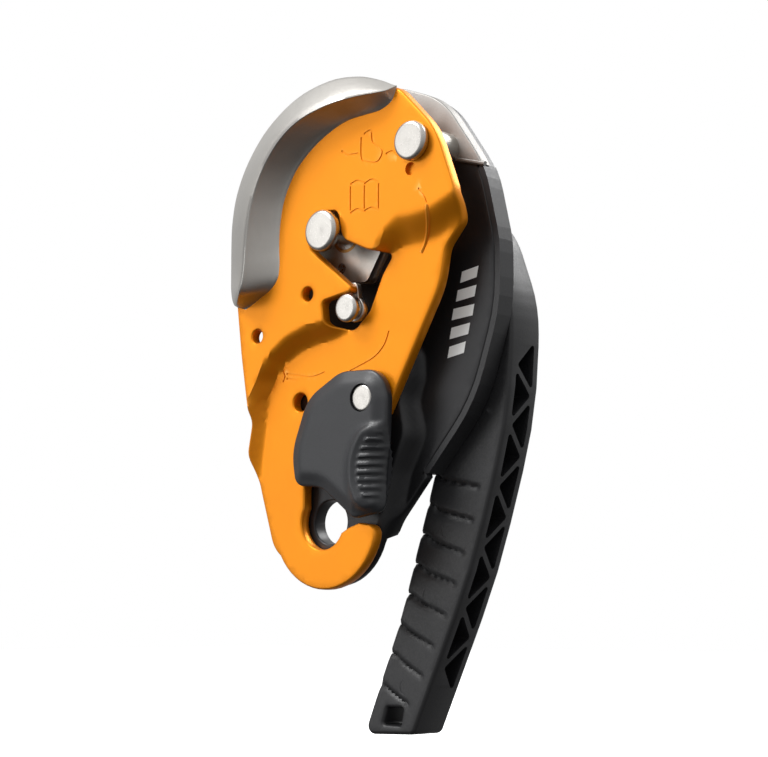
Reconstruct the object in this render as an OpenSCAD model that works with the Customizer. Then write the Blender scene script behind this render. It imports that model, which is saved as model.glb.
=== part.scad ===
// Self-braking rope descender for one rope of 10 to 11.5 mm.
// Front is -Y, up is +Z, X runs to the right of the front view.
// The origin is the centre of the attachment hole in the fixed side plate.

/* [Plates] */
// Thickness of the moving side plate
plate_t = 4.5; // [3.5:0.5:4.5]
// Thickness of the fixed side plate round the attachment hole
foot_t = 6; // [5:0.5:6]
// Thickness of the fixed side plate behind the rope channel
back_t = 4; // [3:0.5:4]
// How far the moving side plate is stepped forward over the rope channel
step_h = 6; // [5:0.5:7]
// Gap between the two side plates where they meet
plate_gap = 0.3; // [0.2:0.1:0.5]

/* [Holes] */
// Radius of the attachment hole in the fixed side plate
attach_r = 7.8; // [7:0.1:8.2]
// Radius of the hook in the moving side plate
hook_r = 9.9; // [9:0.1:10.5]

/* [Pins] */
// Radius of the head of the cam axle
cam_head_r = 7.4; // [6:0.1:7.6]
// Radius of the neck of the cam axle in the window
cam_neck_r = 3.4; // [3:0.1:3.6]
// Radius of the head of the hinge pin
hinge_head_r = 6.9; // [6:0.1:7.5]
// Radius of the hinge pin
hinge_r = 4; // [3.5:0.1:4.5]
// Radius of the head of the locking stud
stud_head_r = 5; // [4.5:0.1:5.5]
// Radius of the head of the gate pin
gate_head_r = 4.65; // [4:0.05:5]

/* [Friction plate] */
// Height of the crest of the friction plate above the moving side plate
crest_h = 9.7; // [7:0.1:11]
// Radius from the friction plate's centre to its inner edge
lip_in_r = 38.5; // [38:0.5:40]

/* [Handle] */
// Depth of the handle from front to back
handle_d = 16.5; // [14:0.5:18]
// Radius of the handle's hub
hub_r = 22; // [20:0.5:24]
// Number of finger grooves
groove_n = 8; // [4:1:9]
// Number of diagonal ribs in the outer edge
rib_n = 14; // [8:1:16]

/* [Hidden] */
$fn = 64;

// Levels along Y, from front to back
low_back = -foot_t / 2 - plate_gap;
low_front = low_back - plate_t;
high_front = low_front - step_h;
high_back = low_back - step_h;
foot_front = -foot_t / 2;
foot_back = foot_t / 2;
wall_front = foot_back + 1;
wall_back = wall_front + back_t;
cover_t = 3.7;
cover_back = wall_back + cover_t;
handle_front = cover_back + 0.3;
handle_back = handle_front + handle_d;

// Axes, as [x, z]
cam_at = [7, 103];
hinge_at = [48.4, 129.1];
stud_at = [16.5, 74.5];
gate_at = [23.4, 42.2];
catch_at = [30, 141];
// Centre and radius of the round top of both side plates
crown_at = [14, 103.5];
crown_r = 53;
// Centre of the friction plate's inner edge and crest
lip_at = [22, 103];

clear = 0.08;

// ---- Outlines -------------------------------------------------------------

function unit(v) = v / norm(v);
function turn_of(d) = (d + 540) % 360 - 180;

// Arc that rounds corner b, where a corner is [x, z, radius]
function corner(a, b, c) =
    b[2] <= 0 ? [[b[0], b[1]]] :
    let (u = unit([a[0] - b[0], a[1] - b[1]]),
         w = unit([c[0] - b[0], c[1] - b[1]]),
         half = acos(max(-1, min(1, u * w))) / 2,
         o = [b[0], b[1]] + unit(u + w) * b[2] / sin(half),
         reach = b[2] / tan(half),
         s = [b[0], b[1]] + u * reach - o,
         e = [b[0], b[1]] + w * reach - o,
         from = atan2(s[1], s[0]),
         sweep = turn_of(atan2(e[1], e[0]) - from),
         n = max(2, ceil(abs(sweep) / 7)))
    [for (i = [0:n]) o + b[2] * [cos(from + sweep * i / n), sin(from + sweep * i / n)]];

function rounded(p) =
    [for (i = [0:len(p) - 1]) each corner(p[(i + len(p) - 1) % len(p)], p[i], p[(i + 1) % len(p)])];

// Points of an arc, as corners with no rounding of their own
function arc(at, r, from, to, n = 18) =
    [for (i = [0:n]) let (a = from + (to - from) * i / n) [at[0] + r * cos(a), at[1] + r * sin(a), 0]];

// The rounded left edge and top that both side plates share
left_and_top = concat(
    [[-24, -9, 12], [-31.5, 12, 60], [-34.5, 35, 80], [-38, 82, 20]],
    arc(crown_at, crown_r, 195, 72, 24));

moving_outline = rounded(concat(
    [[17.5, -0.8, 1.2], [25.5, -2, 3.5]],
    arc([1, 1], 25, -18, -150, 14),
    [[-24, -9, 12], [-30.5, 12, 60], [-34, 25, 12], [-31.5, 38, 12], [-35.5, 62, 60], [-38, 82, 20]],
    arc(crown_at, crown_r, 195, 72, 24),
    [[42, 149, 10], [57.5, 133, 30], [66.5, 109, 12], [64, 100, 8], [57, 92, 8], [54.5, 79, 30],
     [30, 36.5, 1], [17, 30.5, 5], [2, 27, 9], [-8.5, 18, 7]],
    arc([0, 0], hook_r, 150, 335, 18),
    [[12.5, -2.4, 3]]));

fixed_outline = rounded(concat(
    arc([0, 0], 22.6, -20, -150, 14),
    left_and_top,
    [[47, 147.5, 30], [65.5, 121, 40], [71.5, 95, 40], [71.5, 72, 60], [60.5, 39.5, 60],
     [45, 22, 40], [25.5, 0, 20]]));

window_outline = rounded([
    [-0.8, 97.6, 4], [0.5, 110.5, 5], [12.5, 110, 3], [14.5, 99.5, 6], [26, 94.3, 6],
    [33.5, 92.5, 1.5], [28.5, 86, 10], [22.5, 73.5, 5], [15, 67, 5], [6, 69.5, 3], [5, 78, 2],
    [20.5, 80.5, 1.2]]);

// Pad of the fixed side plate that the moving side plate's foot closes onto
foot_outline = rounded(concat(
    arc([0, 0], 22.6, -20, -150, 14),
    [[-24, -9, 12], [-31.5, 12, 60], [-34, 32, 8], [-27, 43, 20], [-19, 57, 14], [-3, 62.5, 20],
     [37, 61, 5], [36.5, 50, 8], [33.5, 42, 8], [36.5, 30, 8], [30, 17, 20], [25.5, 0, 20]]));

// The forged ramp of the moving side plate: [x, z] at its high edge and at its low edge
ramp = [[[-42, 24], [-35, 20]], [[-34, 36], [-29.5, 34]], [[-31.5, 44], [-27, 44]],
        [[-28, 52.5], [-23.5, 52]], [[-21.5, 61], [-18, 58]], [[-13, 67], [-10.5, 61.5]],
        [[-3, 70.5], [-2, 63.5]], [[7, 71.5], [6, 64.5]], [[14, 73], [13, 67]],
        [[24, 84], [23, 78]], [[34, 100], [30, 92]], [[40.5, 105], [37, 94]],
        [[47, 105], [45, 93.5]], [[55, 105.5], [53, 95]], [[63, 108.5], [61, 98.5]],
        [[78, 115], [77, 107]]];

// ---- Building blocks ------------------------------------------------------

// Extrudes an XZ outline along Y from one level to another
module slab(from, to) {
    translate([0, to, 0])
        rotate([90, 0, 0])
            linear_extrude(to - from) children();
}

// Round bar along Y at an [x, z] place
module rod(at, r, from, to) {
    translate([at[0], to, at[1]])
        rotate([90, 0, 0])
            cylinder(r = r, h = to - from);
}

// Turned profile about a Y axis: points are [radius, distance behind the level y]
module turned(at, y, profile) {
    translate([at[0], y, at[1]])
        rotate([-90, 0, 0])
            rotate_extrude() polygon(profile);
}

// Pin head with a chamfered rim, its front face at y
module head(at, r, y, h, chamfer = 0.6) {
    turned(at, y, [[0, 0], [r - chamfer, 0], [r, chamfer], [r, h], [0, h]]);
}

// Tube of radius r swept along a list of points, with flat ends
function side_of(t) = unit(cross(t, abs(t[1]) > 0.9 ? [1, 0, 0] : [0, 1, 0]));
function along(path, i) = unit(path[min(i + 1, len(path) - 1)] - path[max(i - 1, 0)]);
module tube(path, r, sides = 8) {
    n = len(path);
    rings = [for (i = [0:n - 1])
        let (t = along(path, i), u = side_of(t), v = cross(t, u))
        for (k = [0:sides - 1]) path[i] + r * (u * cos(360 * k / sides) + v * sin(360 * k / sides))];
    skin = [for (i = [0:n - 2], k = [0:sides - 1])
        let (a = i * sides + k, b = i * sides + (k + 1) % sides)
        each [[a, a + sides, b], [b, a + sides, b + sides]]];
    first = [for (k = [0:sides - 1]) k];
    last = [for (k = [0:sides - 1]) n * sides - 1 - k];
    polyhedron(rings, concat(skin, [first, last]));
}

// Torsion spring round a Y axis: a coil from y backwards and two legs, each [angle, length]
module torsion_spring(at, r, wire_r, y, turns, legs) {
    sweep = 360 * turns + legs[1][0] - legs[0][0];
    steps = ceil(sweep / 20);
    pitch = 2.3 * wire_r;
    coil = [for (i = [0:steps])
        let (a = legs[0][0] + sweep * i / steps)
        [at[0] + r * cos(a), y + pitch * sweep / 360 * i / steps, at[1] + r * sin(a)]];
    in_leg = coil[0] + legs[0][1] * [sin(legs[0][0]), 0, -cos(legs[0][0])];
    out_leg = coil[steps] + legs[1][1] * [-sin(legs[1][0]), 0, cos(legs[1][0])];
    tube(concat([in_leg], coil, [out_leg]), wire_r);
}

// Solid between the high and low edges of the ramp, one plate thickness deep
module ramp_solid() {
    n = len(ramp);
    points = [for (s = ramp) each [
        [s[0][0], high_front, s[0][1]], [s[1][0], low_front, s[1][1]],
        [s[1][0], low_back, s[1][1]], [s[0][0], high_back, s[0][1]]]];
    sides = [for (i = [0:n - 2], k = [0:3])
        let (a = 4 * i + k, b = 4 * i + (k + 1) % 4)
        each [[a, a + 4, b], [b, a + 4, b + 4]]];
    ends = [[0, 1, 2, 3], [4 * n - 1, 4 * n - 2, 4 * n - 3, 4 * n - 4]];
    polyhedron(points, concat(sides, ends));
}

// ---- Fixed side -----------------------------------------------------------

// Rim of the fixed side that the edge guard replaces
module guard_rim() {
    intersection() {
        difference() {
            polygon(fixed_outline);
            offset(delta = -2.2) polygon(fixed_outline);
        }
        polygon([[34, 16], [90, 16], [90, 122], [60, 122], [34, 40]]);
    }
}

// Region of the fixed side that lies behind the rope channel, and the cover's part of it
module wall_region() {
    polygon([[-60, 20], [10, 20], [17, 3], [25, -9], [120, -9], [120, 180], [-60, 180]]);
}
module cover_region() {
    polygon([[-60, 24], [28, 24], [36, 16], [120, 16], [120, 180], [-60, 180]]);
}
screw_places = [[-26, 40], [-29, 84], [0, 146], [58, 112], [52, 40]];
block_screw_places = [[40, 101], [46, 113]];
drive_r = 12;

module fixed_side_plate() color([0.13, 0.13, 0.14]) difference() {
    union() {
        slab(wall_front, wall_back) difference() {
            intersection() {
                polygon(fixed_outline);
                wall_region();
            }
            guard_rim();
        }
        slab(foot_front, foot_back) polygon(foot_outline);
        slab(foot_back - 0.5, wall_front + 0.5) difference() {
            intersection() {
                polygon(foot_outline);
                wall_region();
            }
            guard_rim();
        }
    }
    rod([0, 0], attach_r, -10, 10);
    rod(cam_at, 5, 0, 12);
    rod(hinge_at, hinge_r, 0, 12);
    rod(catch_at, 2, 0, 12);
    for (p = block_screw_places) rod(p, 2, 0, 12);
    for (p = screw_places) rod(p, 1.5, 0, 12);
    // Slot that the cam's drive pin sweeps
    slab(0, 12) difference() {
        intersection() {
            translate(cam_at) circle(drive_r + 2.5);
            translate(cam_at) polygon([[0, 0], [-22, -40], [40, -40], [40, -8]]);
        }
        translate(cam_at) circle(drive_r - 2.5);
    }
}

module wear_strip() color([0.62, 0.61, 0.6]) difference() {
    union() {
        slab(wall_front - 0.8, wall_front) intersection() {
            polygon(fixed_outline);
            wear_region();
        }
        slab(wall_front - 0.8, wall_back) intersection() {
            difference() {
                offset(delta = 0.8) polygon(fixed_outline);
                polygon(fixed_outline);
            }
            wear_region();
        }
    }
    rod(hinge_at, 6.2, 0, 12);
    rod(catch_at, 3.4, 0, 12);
}

module wear_region() {
    polygon([[24, 130], [24, 170], [90, 170], [90, 114.5], [66, 121.5], [47, 127]]);
}

module edge_guard() color([0.1, 0.1, 0.1]) union() {
    slab(wall_front, cover_back) guard_rim();
}

module rear_cover() color([0.09, 0.09, 0.1]) difference() {
    slab(wall_back, cover_back) intersection() {
        difference() {
            offset(delta = -0.4) polygon(fixed_outline);
            offset(delta = 0.1) guard_rim();
        }
        cover_region();
    }
    rod(cam_at, 18, 0, 20);
    for (p = screw_places) rod(p, 1.6, 0, 20);
    for (p = screw_places) rod(p, 3.1, cover_back - 1.8, 20);
    rod(hinge_at, 6.5, 0, 20);
    rod(catch_at, 3.4, 0, 20);
    for (p = block_screw_places) rod(p, 3.6, 0, 20);
}

module cover_screws() color([0.5, 0.5, 0.5]) for (p = screw_places) difference() {
    union() {
        rod(p, 1.5, wall_front + 0.4, cover_back - 1);
        head(p, 3, cover_back - 1.8, 1.7, 0);
    }
    rod(p, 1.1, cover_back - 1.2, 30, $fn = 6);
}

module cam_axle() color([0.75, 0.74, 0.72]) union() {
    head(cam_at, cam_head_r, high_front - 3.6, 3.3, 0.9);
    rod(cam_at, cam_neck_r, high_front - 0.4, cam_front);
    rod(cam_at, 5, cam_front, wall_back + 0.2);
    rod(cam_at, 4, wall_back, handle_back - 3);
}

module hinge_pin() color([0.75, 0.74, 0.72]) union() {
    head(hinge_at, hinge_head_r, high_front - 3.4, 3.1, 0.8);
    rod(hinge_at, hinge_r, high_front - 0.4, cover_back - 1.5);
    rod(hinge_at, 6, wall_back, cover_back - 0.8);
}

module hinge_spacer() color([0.6, 0.6, 0.6]) difference() {
    rod(hinge_at, 6, high_back + 0.3, wall_front);
    rod(hinge_at, hinge_r, -30, 30);
}

module friction_block() color([0.6, 0.6, 0.6]) difference() {
    slab(cam_front + 0.1, wall_front)
        polygon(rounded([[34, 96, 2], [50, 100, 3], [52, 115, 3], [44, 119, 3], [36, 108, 8]]));
    for (p = block_screw_places) rod(p, 2, -30, 30);
}

module block_screws() color([0.7, 0.7, 0.7]) for (p = block_screw_places) difference() {
    union() {
        rod(p, 2, cam_front + 0.3, wall_back + 0.5);
        head(p, 3.5, wall_back, 2.4, 0);
    }
    rod(p, 1.3, wall_back + 1, 30, $fn = 6);
}

module catch_pin() color([0.7, 0.7, 0.7]) union() {
    rod(catch_at, 2, high_back + 1.5, wall_back + 1);
    rod(catch_at, 3.3, wall_back, wall_back + 1.5);
}

module catch_spring() color([0.6, 0.6, 0.6])
    torsion_spring(catch_at, 3, 0.4, wall_front - 2.7, 1, [[0, 4], [200, 4]]);

module cam_spring() color([0.6, 0.6, 0.6])
    torsion_spring(cam_at, 16.4, 0.5, wall_back + 0.7, 1, [[20, 3], [130, 3]]);

// ---- Cam ------------------------------------------------------------------

// The front of the cam's nose clears the back of the swinging plate's foot
cam_front = low_back + 0.3;
boss_front = high_back + 2.8;
cam_back = wall_front - 0.3;

cam_outline = rounded([[-9, 113, 10], [7, 121, 12], [22, 112, 12], [23.5, 95, 2.5], [17, 85, 3],
                       [5, 86, 8], [-8, 92, 10]]);
// Depth of the rope groove in the cam's rim, and the thickness of its front and back lips
groove_depth = 1.6;
cam_lip = 2;

module cam() color([0.45, 0.45, 0.45]) difference() {
    union() {
        slab(cam_front, cam_front + cam_lip) polygon(cam_outline);
        slab(cam_front + cam_lip, cam_back - cam_lip) offset(delta = -groove_depth) polygon(cam_outline);
        slab(cam_back - cam_lip, cam_back) polygon(cam_outline);
        slab(boss_front, cam_front + 0.2) intersection() {
            polygon(cam_outline);
            polygon([[-20, 130], [-1, 130], [-1, 112], [-3, 96], [-20, 90]]);
        }
    }
    rod(cam_at, 6.2, boss_front - 1, 30);
    rod(drive_at, 2, boss_front - 1, 30);
}

// Angle of the drive pin round the cam axle, and its place
cam_drive_a = -100;
drive_at = cam_at + drive_r * [cos(cam_drive_a), sin(cam_drive_a)];

module cam_bush() color([0.72, 0.55, 0.3]) difference() {
    rod(cam_at, 6.2, cam_front, cam_back);
    rod(cam_at, 5 + clear, -30, 30);
}

module cam_drive_pin() color([0.7, 0.7, 0.7])
    rod(drive_at, 2, cam_front, cover_back - 0.6);

// ---- Anti-error catch -----------------------------------------------------

module anti_error_catch() color([0.55, 0.55, 0.55]) difference() {
    slab(-5.5, wall_front - 3.2)
        polygon(rounded([[25.5, 143, 3], [31, 146, 3], [35, 142, 4], [30, 128, 3], [24, 124, 2],
                         [22, 126, 2]]));
    rod(catch_at, 2 + clear, -30, 30);
}

// ---- Moving side ----------------------------------------------------------

module high_region() {
    polygon(concat([for (s = ramp) s[0]], [[78, 180], [-70, 180], [-70, 24]]));
}

module low_region() {
    polygon(concat([for (s = ramp) s[1]], [[77, -60], [-35, -60]]));
}

module moving_side_plate() color([0.93, 0.6, 0.06]) difference() {
    intersection() {
        union() {
            slab(high_front, high_back) high_region();
            slab(low_front, low_back) low_region();
            ramp_solid();
        }
        slab(-40, 20) polygon(moving_outline);
    }
    slab(-40, 20) polygon(window_outline);
    rod(hinge_at, hinge_r + clear, -40, 20);
    rod(gate_at, 2.5, -40, 20);
    for (h = plate_holes) rod([h[0], h[1]], h[2], -40, 20);
    rod(blind_at, 2.3, -40, high_front + 1.5);
    for (p = lip_rivets) rod(p, 1.8, -40, 20);
}

// Through holes as [x, z, radius], and the place of the blind hole by the hinge pin
plate_holes = [[-2, 81.3, 2.5], [-27.1, 68.4, 2.5], [-10.9, 43.4, 3.3]];
blind_at = [46.6, 119.8];

lip_rivets = [for (a = [175, 135, 100]) lip_at + 46 * [cos(a), sin(a)]];

// Ring of the friction plate's section, from its inner edge over the crest to its rim
module lip_ring() {
    translate([lip_at[0], high_front, lip_at[1]])
        rotate([-90, 0, 0])
            rotate_extrude()
                polygon([[lip_in_r, 0], [lip_in_r + 2, -2.2], [lip_in_r + 3.7, -5], [lip_in_r + 4.8, -8.3],
                         [lip_in_r + 5.8, -crest_h], [lip_in_r + 7.2, -crest_h + 0.1],
                         [lip_in_r + 10, -crest_h + 1.4], [lip_in_r + 16, -5], [lip_in_r + 21, -2.2],
                         [lip_in_r + 23, 0]]);
}

module friction_plate() color([0.66, 0.65, 0.62]) difference() {
    intersection() {
        lip_ring();
        slab(-40, 20) intersection() {
            translate(crown_at) circle(r = crown_r + 1.2, $fn = 180);
            polygon([[-60, 84], [-30, 80.5], [-21, 84.5], [-8, 90], [22, 103], [40.5, 145.5], [44, 149],
                     [44, 180], [-60, 180]]);
        }
    }
    for (p = lip_rivets) rod(p, 1.8, -40, 20);
}

module friction_rivets() color([0.5, 0.5, 0.5]) for (p = lip_rivets)
    rod(p, 1.8, high_front - 3, high_back);

// The stud's flange stays inside the window where the plate steps back
stud_flange_r = 4.5;

module locking_stud() color([0.7, 0.69, 0.67]) union() {
    head(stud_at, stud_head_r, high_front - 0.3, 2.5, 0.7);
    rod(stud_at, 3.5, high_front + 1, high_back + 0.5);
    slab(high_back, boss_front - 0.4) union() {
        translate(stud_at) circle(r = stud_flange_r);
        polygon(rounded([[12, 75, 1], [19, 76, 1], [18, 84, 2], [8, 84.5, 2]]));
    }
}

module gate_pin() color([0.72, 0.71, 0.69]) union() {
    head(gate_at, gate_head_r, low_front - 5.2, 1.8, 0.4);
    rod(gate_at, 2.5, low_front - 4, low_back);
}

module gate_spring() color([0.6, 0.6, 0.6])
    torsion_spring(gate_at, 4.4, 0.4, low_front - 2.2, 2, [[270, 7], [180, 8]]);

// ---- Gate -----------------------------------------------------------------

gate_back = low_front - 0.3;
gate_front = gate_back - 5.4;

module gate() color([0.12, 0.12, 0.12]) difference() {
    union() {
        slab(gate_front, gate_back)
            polygon(rounded([[12, 52.5, 14], [31, 52, 9], [34, 42, 8], [33.2, 25, 30], [31, 2.5, 4],
                             [18, 0.5, 4], [13, 4.5, 8], [3, 12, 12], [-9.5, 13, 4.5], [-11.5, 25, 20],
                             [-4, 44, 16]]));
        // Thumb grip
        slab(gate_front - 2.2, gate_front + 0.2)
            polygon(rounded([[26, 33, 3], [33.4, 34, 2], [31.4, 6, 3], [21, 4.5, 3], [16, 18, 20]]));
    }
    rod(gate_at, gate_head_r + 0.3, -40, low_front - 3.2);
    rod(gate_at, 2.5 + clear, -40, 0);
    rod(gate_at, 5.3, low_front - 2.8, 0);
    // Pocket for the spring's legs
    slab(low_front - 2.8, 0) translate(gate_at) polygon([[0, 5], [-14, 5], [-14, -14], [10, -14], [10, 0]]);
    // Grip ribs
    for (i = [0:8])
        slab(-40, gate_front - 1) translate([19, 8.5 + 2.9 * i]) square([20, 1.2]);
}

// ---- Handle ---------------------------------------------------------------

arm_outline = rounded([
    [-2, 124, 0], [30, 123, 30], [60, 103, 30], [70.5, 74, 50], [69.5, 38, 160], [52, -18, 260],
    [25.5, -74.5, 3], [2.5, -75, 3], [20, -33, 200], [34, 12, 120], [41, 40, 40], [33, 68, 24],
    [3, 82, 0]]);
pocket_depth = 8.5;
wall = 2.6;

// Middle of the outer edge at height z, for the ribs
function edge_x(z) = z > 30 ? 69.2 - pow(z - 55, 2) / 110 * 0.35 : 67.2 - (30 - z) * 0.22 - pow(30 - z, 2) / 520;

module arm_pocket() {
    slab(handle_front + wall, handle_back - wall) intersection() {
        difference() {
            offset(delta = 2) polygon(arm_outline);
            offset(delta = -pocket_depth) polygon(arm_outline);
        }
        polygon([[48, 86], [90, 86], [90, -69], [22, -69], [40, -10], [54, 40]]);
    }
}

module arm_ribs() {
    gap_y = handle_d - 2 * wall;
    pitch = 153 / rib_n;
    for (i = [0:rib_n - 1]) {
        z = 84 - pitch * (i + 0.5);
        lean = (i % 2 == 0 ? 1 : -1) * atan(pitch / gap_y);
        translate([edge_x(z) - 4, (handle_front + handle_back) / 2, z])
            rotate([lean, 0, 0])
                cube([26, gap_y / cos(lean) + 4, 1.8], center = true);
    }
}

module handle() color([0.13, 0.13, 0.13]) difference() {
    union() {
        rod(cam_at, hub_r, handle_front, handle_back);
        difference() {
            slab(handle_front, handle_back) polygon(arm_outline);
            arm_pocket();
        }
        intersection() {
            arm_ribs();
            slab(handle_front + 1, handle_back - 1) offset(delta = -0.6) polygon(arm_outline);
        }
    }
    // Bore for the bush, spring room in front and cap recess behind
    rod(cam_at, 6, 0, 60);
    rod(cam_at, 18, 0, handle_front + 4.5);
    rod(cam_at, 14, handle_back - 4.5, 60);
    // Finger grooves: a notch in the inner edge and a slot on the front face
    for (i = [0:groove_n - 1]) {
        z = 15.5 - 11.3 * i;
        x = 34 + 0.27 * (z - 15) - pow(15 - z, 2) / 900;
        translate([x, handle_front, z]) {
            rotate([0, 17, 0]) translate([-6, -1, -0.6]) cube([17 - 0.6 * i, 2.2, 1.2]);
            translate([-3.6, -5, 0]) rotate([0, 17, 0]) cube([4, 60, 2.4], center = true);
        }
    }
    // Cord hole in the end
    slab(0, 60) polygon(rounded([[13.5, -65.3, 0.8], [20.8, -65.3, 0.8], [19.6, -71.6, 0.8], [11.5, -71.3, 0.8]]));
}

module hub_bush() color([0.72, 0.55, 0.3]) difference() {
    rod(cam_at, 6, handle_front + 4.6, handle_back - 4.6);
    rod(cam_at, 4 + clear, 0, 60);
}

// Angle of the lobe at rest: it reaches the drive pin at the end of the handle's travel
lobe_a = -216.5;

module release_eccentric() color([0.55, 0.55, 0.55]) difference() {
    union() {
        rod(cam_at, 9.6, wall_back + 2.9, handle_front + 4.5);
        slab(wall_back + 2.9, handle_front + 0.2)
            translate(cam_at) rotate(lobe_a) polygon([[9, -3], [15.5, -2], [15.5, 2], [9, 3]]);
    }
    rod(cam_at, 4 + clear, 0, 60);
}

module return_spring() color([0.6, 0.6, 0.6])
    torsion_spring(cam_at, 14.5, 0.6, handle_front + 1.2, 1, [[30, 2.5], [150, 2.5]]);

module hub_cap() color([0.16, 0.16, 0.16]) difference() {
    turned(cam_at, handle_back - 4.4, [[0, 0], [13.9, 0], [13.9, 5.2], [12.7, 6.6], [0, 6.6]]);
    rod(cam_at, 4 + clear, 0, handle_back - 2.4);
    rod(button_at, 3.4, 0, 60);
    rod(cam_at, 3.2, 0, 60);
}

module hub_screw() color([0.7, 0.7, 0.7]) difference() {
    union() {
        rod(cam_at, 3.1, handle_back - 2.3, handle_back + 3);
        head(cam_at, 4.6, handle_back + 2.3, 2.2, 0);
    }
    rod(cam_at, 2, handle_back + 3, 60, $fn = 6);
}

// ---- Button ---------------------------------------------------------------

button_at = cam_at + [8.2, 0];

module button() color([0.75, 0.08, 0.05])
    rod(button_at, 3.3, handle_back - 0.4, handle_back + 4.4);

module button_spring() color([0.6, 0.6, 0.6])
    tube([for (i = [0:48])
        [button_at[0] + 2.3 * cos(30 * i), handle_back - 4 + 3.2 * i / 48, button_at[1] + 2.3 * sin(30 * i)]],
        0.25);

fixed_side_plate();
wear_strip();
edge_guard();
rear_cover();
cover_screws();
cam_axle();
hinge_pin();
hinge_spacer();
friction_block();
block_screws();
catch_pin();
catch_spring();
cam_spring();
cam();
cam_bush();
cam_drive_pin();
anti_error_catch();
moving_side_plate();
friction_plate();
friction_rivets();
locking_stud();
gate_pin();
gate_spring();
gate();
handle();
hub_bush();
release_eccentric();
return_spring();
hub_cap();
hub_screw();
button();
button_spring();
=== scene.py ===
import math

import bpy
import numpy as np
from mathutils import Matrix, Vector
from mathutils.geometry import delaunay_2d_cdt


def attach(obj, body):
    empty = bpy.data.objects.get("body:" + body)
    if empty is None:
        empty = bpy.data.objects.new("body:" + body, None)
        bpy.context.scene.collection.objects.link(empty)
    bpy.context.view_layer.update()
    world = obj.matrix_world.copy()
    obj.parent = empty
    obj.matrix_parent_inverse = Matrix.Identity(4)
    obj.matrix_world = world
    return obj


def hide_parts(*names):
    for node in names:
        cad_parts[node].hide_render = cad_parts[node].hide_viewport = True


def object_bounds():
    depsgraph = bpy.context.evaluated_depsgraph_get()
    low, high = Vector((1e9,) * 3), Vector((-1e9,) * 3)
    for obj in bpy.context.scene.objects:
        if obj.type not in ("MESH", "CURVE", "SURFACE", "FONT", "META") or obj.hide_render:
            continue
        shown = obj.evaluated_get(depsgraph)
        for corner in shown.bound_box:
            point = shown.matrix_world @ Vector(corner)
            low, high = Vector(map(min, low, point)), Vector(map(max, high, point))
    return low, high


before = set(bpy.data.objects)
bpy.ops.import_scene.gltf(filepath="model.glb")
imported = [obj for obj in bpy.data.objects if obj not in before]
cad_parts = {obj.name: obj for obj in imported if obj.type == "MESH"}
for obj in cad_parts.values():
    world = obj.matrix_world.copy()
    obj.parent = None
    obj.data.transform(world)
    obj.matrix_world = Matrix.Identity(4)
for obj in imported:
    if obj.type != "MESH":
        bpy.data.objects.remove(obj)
cad_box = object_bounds()
MM = 0.001

# ---- Driving dimensions, in millimetres, in the frame's own axes ------------------------------
LOW_FRONT, LOW_BACK = -7.8, -3.3
HIGH_FRONT, HIGH_BACK = -13.8, -9.3
PLATE_T = 4.5
FOOT_FRONT, FOOT_BACK = -3.0, 3.0
WALL_FRONT, WALL_BACK = 4.0, 8.0
HANDLE_FRONT, HANDLE_BACK = 12.0, 28.5
GATE_BACK, GATE_FRONT = -8.1, -13.5
CAM, HINGE, STUD, GATE = (7, 103), (48.4, 129.1), (16.5, 74.5), (23.4, 42.2)
CROWN, CROWN_R = (14, 103.5), 53
CREST_FRONT = -23.5
ATTACH_R, HOOK_R = 7.8, 9.9
STUD_HEAD_BACK, STUD_BACK = -11.6, -6.9
GATE_HEAD_BACK = -11.2
PIN_HEAD_BACK = -14.1
CAM_FRONT = -3
AXLE_BACK = 25.5
HUB_R = 22


# ---- Outlines, as lists of (x, z) -------------------------------------------------------------
def arc(at, r, start, end, n=18):
    """Points of an arc, in degrees, as corners with no rounding of their own."""
    steps = [math.radians(start + (end - start) * i / n) for i in range(n + 1)]
    return [(at[0] + r * math.cos(a), at[1] + r * math.sin(a), 0) for a in steps]


def corner(a, b, c, step):
    """The arc that rounds corner b by its radius b[2]."""
    if b[2] <= 0:
        return [(b[0], b[1])]
    p = Vector(b[:2])
    u = (Vector(a[:2]) - p).normalized()
    w = (Vector(c[:2]) - p).normalized()
    half = math.acos(max(-1, min(1, u.dot(w)))) / 2
    o = p + (u + w).normalized() * b[2] / math.sin(half)
    reach = b[2] / math.tan(half)
    s, e = p + u * reach - o, p + w * reach - o
    start = math.atan2(s.y, s.x)
    sweep = (math.atan2(e.y, e.x) - start + 3 * math.pi) % (2 * math.pi) - math.pi
    n = max(2, math.ceil(abs(math.degrees(sweep)) / step))
    return [(o.x + b[2] * math.cos(start + sweep * i / n), o.y + b[2] * math.sin(start + sweep * i / n))
            for i in range(n + 1)]


def rounded(p, step=6):
    """A closed outline from corners that are (x, z, radius)."""
    out = []
    for i in range(len(p)):
        out += corner(p[i - 1], p[i], p[(i + 1) % len(p)], step)
    return out


def circle(at, r, n=32):
    return [(at[0] + r * math.cos(2 * math.pi * i / n), at[1] + r * math.sin(2 * math.pi * i / n))
            for i in range(n)]


def area(loop):
    return sum(a[0] * b[1] - b[0] * a[1] for a, b in zip(loop, loop[1:] + loop[:1])) / 2


def even(loop, gap):
    """The same closed line with points about gap apart."""
    out = []
    for a, b in zip(loop, loop[1:] + loop[:1]):
        d = math.dist(a, b)
        if d < 1e-3:
            continue
        n = max(1, round(d / gap))
        out += [(a[0] + (b[0] - a[0]) * i / n, a[1] + (b[1] - a[1]) * i / n) for i in range(n)]
    return out


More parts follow.
